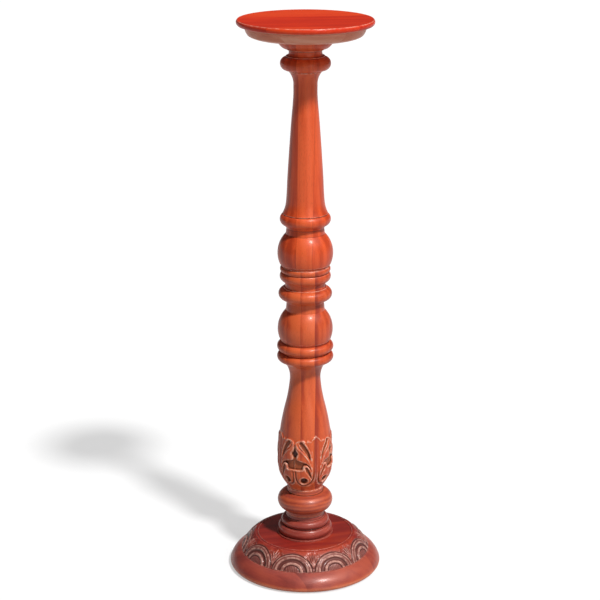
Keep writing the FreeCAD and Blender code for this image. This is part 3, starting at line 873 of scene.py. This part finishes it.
def addWearShadeAndHighlight(graph, look, color):    # stain in carved cuts, dirt and painted shade dark in the hollows, wear and painted highlights pale on the crests
    hollow = graph.attribute("hollow")
    deep = graph.attribute("deep")
    broken = graph.noise(graph.place, woodScales["wear"], 3.0)
    color = graph.mixColor(graph.spread(deep, 0.0, 0.6, 0.0, look["stain"]), color, look["stainColor"])
    # painted shade: the deepest cuts, the eyes, go near black in the dirt colour
    color = graph.mixColor(graph.spread(deep, 0.7, 1.0), color, look["dirtAndShadeColor"])
    # dirt and painted shade: the hollower a point, the darker it is painted, as grooves darken in shade
    dirtAndShade = graph.spread(hollow, *look["dirtAndShadeRange"])
    dirtAndShade = graph.maths("MINIMUM", graph.multiply(dirtAndShade, graph.multiply(broken, 0.7, 0.6)), look["dirtAndShade"])
    color = graph.mixColor(dirtAndShade, color, look["dirtAndShadeColor"])
    # wear and painted highlight: crests are painted pale pink, as worn polish and as the gleam they catch
    rubAndHighlight = graph.spread(graph.multiply(hollow, -1.0), *look["rubAndHighlightRange"])
    rubAndHighlight = graph.multiply(rubAndHighlight, graph.spread(broken, 0.35, 0.65, 0.2, 1.0))
    rubAndHighlight = graph.multiply(rubAndHighlight, graph.multiply(deep, look["rubAndHighlightCarved"], look["rubAndHighlight"]))
    return graph.mixColor(rubAndHighlight, color, look["rubAndHighlightColor"]), dirtAndShade


def addGloss(graph, look, dirtAndShade, figure):
    rough = graph.multiply(figure["clouds"], 0.14, look["roughness"])
    graph.feed(graph.shader.inputs["Roughness"], graph.multiply(dirtAndShade, 0.25, rough))
    graph.shader.inputs["Specular IOR Level"].default_value = look["specular"]
    graph.shader.inputs["Specular Tint"].default_value = toColor(look["specularTint"])
    graph.shader.inputs["Coat Weight"].default_value = look["coat"]
    graph.shader.inputs["Coat Roughness"].default_value = look["coatRoughness"]
    wave = graph.noise(graph.place, woodScales["wave"])
    height = graph.multiply(wave, look["waveHeight"], graph.multiply(figure["streaks"], look["streakHeight"]))
    bump = graph.raised(graph.multiply(figure["pores"], -look["poreDepth"], height))
    graph.feed(graph.shader.inputs["Coat Normal"], bump)


def makeWood(name, look):
    graph = Graph(name)
    boards = addBoards(graph, look)
    figure = {"boards": boards["tone"], "heart": boards["heart"], "rings": addRings(graph, look, boards)}
    for pattern in ("streaks", "ribbon", "pores"):
        figure[pattern] = addPattern(graph, boards["figure"], pattern)
    figure["pores"] = graph.spread(figure["pores"], 0.58, 0.70)
    figure["clouds"] = graph.noise(graph.place, woodScales["clouds"])
    color, dirtAndShade = addWearShadeAndHighlight(graph, look, addFigure(graph, look, boards, figure))
    graph.feed(graph.shader.inputs["Base Color"], color)
    addGloss(graph, look, dirtAndShade, figure)
    return graph.material


columnLook = {
    "lying": False, "grainTurn": -9, "board": 28.0, "glueLine": -9.2, "seed": 1.2,    # degrees and mm
    "ringWidth": 8.0, "ringWaver": 7.0,
    "rings": 0.3, "streaks": 0.7, "ribbon": 0.5, "boards": 0.6, "heart": 0.0, "clouds": 0.6,
    "dark": (0.48, 0.042, 0.008), "middle": (0.71, 0.080, 0.016), "light": (0.82, 0.118, 0.028),
    "poreColor": (0.20, 0.022, 0.008), "pores": 0.25,
    "glueColor": (0.20, 0.025, 0.01), "glue": 0.3,
    "stainColor": (0.30, 0.060, 0.012), "stain": 0.92,
    # the dark colour in hollows is dirt and painted shade
    "dirtAndShadeColor": (0.060, 0.008, 0.003), "dirtAndShadeRange": (0.06, 0.6), "dirtAndShade": 0.88,
    # the pale pink colour on crests is wear and painted highlight
    "rubAndHighlightColor": (0.88, 0.52, 0.38), "rubAndHighlightRange": (0.15, 0.5), "rubAndHighlight": 0.7, "rubAndHighlightCarved": 0.0,
    "roughness": 0.46, "specular": 0.5, "specularTint": (1.0, 0.68, 0.60),
    "coat": 0.25, "coatRoughness": 0.22,
    "waveHeight": 0.04, "streakHeight": 0.02, "poreDepth": 0.02,    # mm
}
lowerLook = dict(
    columnLook, board=25.0, glueLine=-5.0, grainTurn=-4, seed=2.7, heart=0.7,
    dark=(0.36, 0.034, 0.012), middle=(0.59, 0.076, 0.020), light=(0.74, 0.125, 0.034),
    # dirt and painted shade in the leaves' grooves
    dirtAndShadeRange=(0.25, 1.4), dirtAndShade=0.8,
)
knopLook = dict(
    columnLook, lying=True, board=140.0, glueLine=-70.0, grainTurn=14, seed=2.0,
    rings=0.45, ringWidth=3.6, ringWaver=5.0, clouds=1.1,
    dark=(0.16, 0.018, 0.011), middle=(0.38, 0.052, 0.022), light=(0.58, 0.105, 0.036), specular=0.8,
)
plateLook = dict(
    columnLook, lying=True, grainTurn=8, board=118.0, glueLine=30.0, seed=7.0,
    dark=(0.62, 0.026, 0.007), middle=(0.78, 0.042, 0.009), light=(0.84, 0.070, 0.013),
    # the pale underside colours are painted bounce light from the floor
    under=((0.76, 0.25, 0.15), (0.95, 0.46, 0.31)), underFrom=(0.990, 0.996), specular=0.12,
)
discLook = dict(
    columnLook, lying=True, grainTurn=12, board=90.0, glueLine=25.0, seed=5.0,
    dark=(0.17, 0.010, 0.008), middle=(0.28, 0.018, 0.012), light=(0.42, 0.045, 0.016),
    # the dark colour in hollows is dirt and painted shade
    stainColor=(0.15, 0.042, 0.036), stain=0.9, dirtAndShadeColor=(0.030, 0.008, 0.006), dirtAndShadeRange=(0.12, 0.8),
    # the pale crests of the arches are wear and painted highlight
    rubAndHighlightColor=(0.56, 0.29, 0.23), rubAndHighlightRange=(0.05, 0.42), rubAndHighlight=0.35, rubAndHighlightCarved=1.2,
    roughness=0.40, specular=0.6,
)
collarLook = dict(
    # the pale edges of the collar are wear and painted highlight
    discLook, dark=(0.20, 0.024, 0.018), middle=(0.32, 0.046, 0.032), light=(0.44, 0.075, 0.045), rubAndHighlight=0.2,
)
rimLook = dict(
    discLook, board=142.0, glueLine=45.0, grainTurn=-43.5, seed=3.0, boards=0.2, heart=0.45, clouds=1.4,
    dark=(0.17, 0.024, 0.020), middle=(0.31, 0.048, 0.034), light=(0.42, 0.076, 0.042),
    # lighter and oranger towards the foot of the rim
    under=((0.48, 0.080, 0.026), (0.70, 0.170, 0.055)), underFrom=(0.005, 0.013),
)


# Metal and felt, which show only from below or when the stand is taken apart

metalScales = {"fine": 2600.0, "spangle": 900.0}    # per metre
zincLook = {
    "dark": (0.42, 0.43, 0.44), "light": (0.66, 0.67, 0.68), "tarnishColor": (0.30, 0.28, 0.25),
    "tarnish": 0.5, "spangle": 0.12, "roughness": 0.18, "cloudScale": 220.0,
}
brassLook = {
    "dark": (0.55, 0.34, 0.11), "light": (0.80, 0.56, 0.22), "tarnishColor": (0.30, 0.19, 0.08),
    "tarnish": 0.6, "spangle": 0.05, "roughness": 0.2, "cloudScale": 180.0,
}
feltLook = {
    "dark": (0.045, 0.032, 0.026), "light": (0.15, 0.115, 0.095), "dust": (0.34, 0.30, 0.26),
    "bentScale": 300.0, "fiberScale": 1500.0, "lintScale": 700.0, "sheen": 0.3,
    "fiberHeight": 0.35,    # mm
}


def makeMetal(name, look):
    graph = Graph(name)
    cloud = graph.noise(graph.place, look["cloudScale"], 3.0)
    fine = graph.noise(graph.place, metalScales["fine"])
    inputs = {"Vector": graph.place, "Scale": metalScales["spangle"]}
    marks = graph.add("TexVoronoi", {"feature": "DISTANCE_TO_EDGE"}, inputs)
    edge = graph.spread(marks.outputs["Distance"], 0.0, 0.06, look["spangle"], 0.0)
    color = graph.mixColor(graph.spread(cloud, 0.35, 0.65), look["dark"], look["light"])
    color = graph.mixColor(graph.spread(fine, 0.6, 0.75, 0.0, look["tarnish"]), color, look["tarnishColor"])
    graph.feed(graph.shader.inputs["Base Color"], color)
    graph.shader.inputs["Metallic"].default_value = 1.0
    rough = graph.multiply(cloud, 0.3, look["roughness"])
    graph.feed(graph.shader.inputs["Roughness"], graph.maths("ADD", rough, edge))
    graph.raised(graph.multiply(fine, 0.02, graph.multiply(edge, -0.05)))
    return graph.material


def makeFelt(name, look):
    graph = Graph(name)
    bent = graph.noise(graph.place, look["bentScale"])
    twisted = graph.add("VectorMath", {"operation": "SCALE"}, {0: graph.place})
    graph.feed(twisted.inputs["Scale"], graph.multiply(bent, 0.4, 1.0))
    fibers = graph.noise(twisted.outputs[0], look["fiberScale"], 4.0, 0.7)
    lint = graph.spread(graph.noise(graph.place, look["lintScale"], 3.0), 0.62, 0.75)
    color = graph.mixColor(graph.spread(fibers, 0.35, 0.65), look["dark"], look["light"])
    color = graph.mixColor(graph.multiply(lint, 0.5), color, look["dust"])
    graph.feed(graph.shader.inputs["Base Color"], color)
    graph.feed(graph.shader.inputs["Roughness"], graph.multiply(fibers, 0.15, 0.85))
    graph.shader.inputs["Sheen Weight"].default_value = look["sheen"]
    graph.raised(graph.multiply(fibers, look["fiberHeight"]))
    return graph.material


columnWood = makeWood("columnWood", columnLook)
lowerWood = makeWood("lowerWood", lowerLook)
knopWood = makeWood("knopWood", knopLook)
plateWood = makeWood("plateWood", plateLook)
discWood = makeWood("discWood", discLook)
collarWood = makeWood("collarWood", collarLook)
rimWood = makeWood("rimWood", rimLook)
zincSteel = makeMetal("zincSteel", zincLook)
insertBrass = makeMetal("insertBrass", brassLook)
padFelt = makeFelt("padFelt", feltLook)
print("finishes made")

declare(turnPiece("topPlate", "top_plate"), "top_plate", plateWood)
declare(turnPiece("upperColumn", "upper_column"), "upper_column", columnWood)
declare(carveLowerColumn(), "lower_column", lowerWood)
declare(turnPiece("knopRing", "knop"), "knop", knopWood)
declare(turnPiece("baseCollar", "base_collar"), "base_collar", collarWood)
declare(carveDisc(), "carved_disc", discWood)
rimPiece = turnPiece("rimDisc", "rim_disc", turning["betweenScrews"], roundRim)
declare(rimPiece, "rim_disc", rimWood)
for nodeName, material in (
    ("top_insert_nut", insertBrass), ("top_hanger_bolt", zincSteel), ("base_screws", zincSteel),
    ("column_washer", zincSteel), ("column_lag_bolt", zincSteel), ("felt_pads", padFelt),
):
    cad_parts[nodeName].data.materials[0] = material
print("pieces made")


# Camera, light and floor

view = {
    "distance": 3000, "height": 1443,     # mm, in front of the column and above the floor
    "pitch": 17.34,                       # degrees below the horizon
    "focalPixels": 1775, "imagePixels": 600,
    "axisOffset": 5.5,                    # pixels that the column stands right of the middle
    "sensor": 36,
}
camera = bpy.data.objects.new("camera", bpy.data.cameras.new("camera"))
scene.collection.objects.link(camera)
camera.data.sensor_width = view["sensor"]
camera.data.lens = view["focalPixels"] / view["imagePixels"] * view["sensor"]
camera.location = (0, -view["distance"] * mm, view["height"] * mm)
turnLeft = math.atan(view["axisOffset"] / view["focalPixels"])
camera.rotation_euler = (math.radians(90 - view["pitch"]), 0, turnLeft)
scene.camera = camera

lighting = {
    "lamps": {    # degrees right of the camera and above the floor, strength, and width in degrees
        "key": (38, 54, 3.0, 6),
        "softbox": (80, 48, 0.5, 44),
        "fill": (26, 12, 0.4, 30),
        "back": (200, 70, 0.4, 50),
    },
    "world": 0.06,
    "floorSize": 60,    # metres
    "floorBounce": 0.34, "floorSeen": 0.5, "floorGlow": 0.5,
}
for lampName, (turn, height, strength, width) in lighting["lamps"].items():
    lamp = bpy.data.objects.new(lampName, bpy.data.lights.new(lampName, "SUN"))
    scene.collection.objects.link(lamp)
    lamp.data.energy = strength
    lamp.data.angle = math.radians(width)
    lamp.rotation_euler = (math.radians(90 - height), 0, math.radians(turn))

world = bpy.data.worlds.new("studio")
scene.world = world
world.use_nodes = True
world.node_tree.nodes["Background"].inputs["Color"].default_value = (1, 1, 1, 1)
world.node_tree.nodes["Background"].inputs["Strength"].default_value = lighting["world"]


def seenDirectly(graph):    # 1 for the camera's rays and those of mirrors and glass
    rays = graph.add("LightPath").outputs
    seen = rays["Is Camera Ray"]
    for other in ("Is Glossy Ray", "Is Transmission Ray"):
        seen = graph.maths("MAXIMUM", seen, rays[other])
    return seen


bpy.ops.object.select_all(action="DESELECT")
bpy.ops.mesh.primitive_plane_add(size=lighting["floorSize"])
floor = bpy.context.object
floor.name = "floor"
paint = Graph("floorPaint")
seen = seenDirectly(paint)
bounce = (lighting["floorBounce"],) * 3
seenColor = (lighting["floorSeen"],) * 3
paint.feed(paint.shader.inputs["Base Color"], paint.mixColor(seen, bounce, seenColor))
paint.shader.inputs["Emission Color"].default_value = (1, 1, 1, 1)
paint.feed(paint.shader.inputs["Emission Strength"], paint.multiply(seen, lighting["floorGlow"]))
paint.shader.inputs["Roughness"].default_value = 1.0
paint.shader.inputs["Specular IOR Level"].default_value = 0.0
floor.data.materials.append(paint.material)

scene.view_settings.view_transform = "Standard"
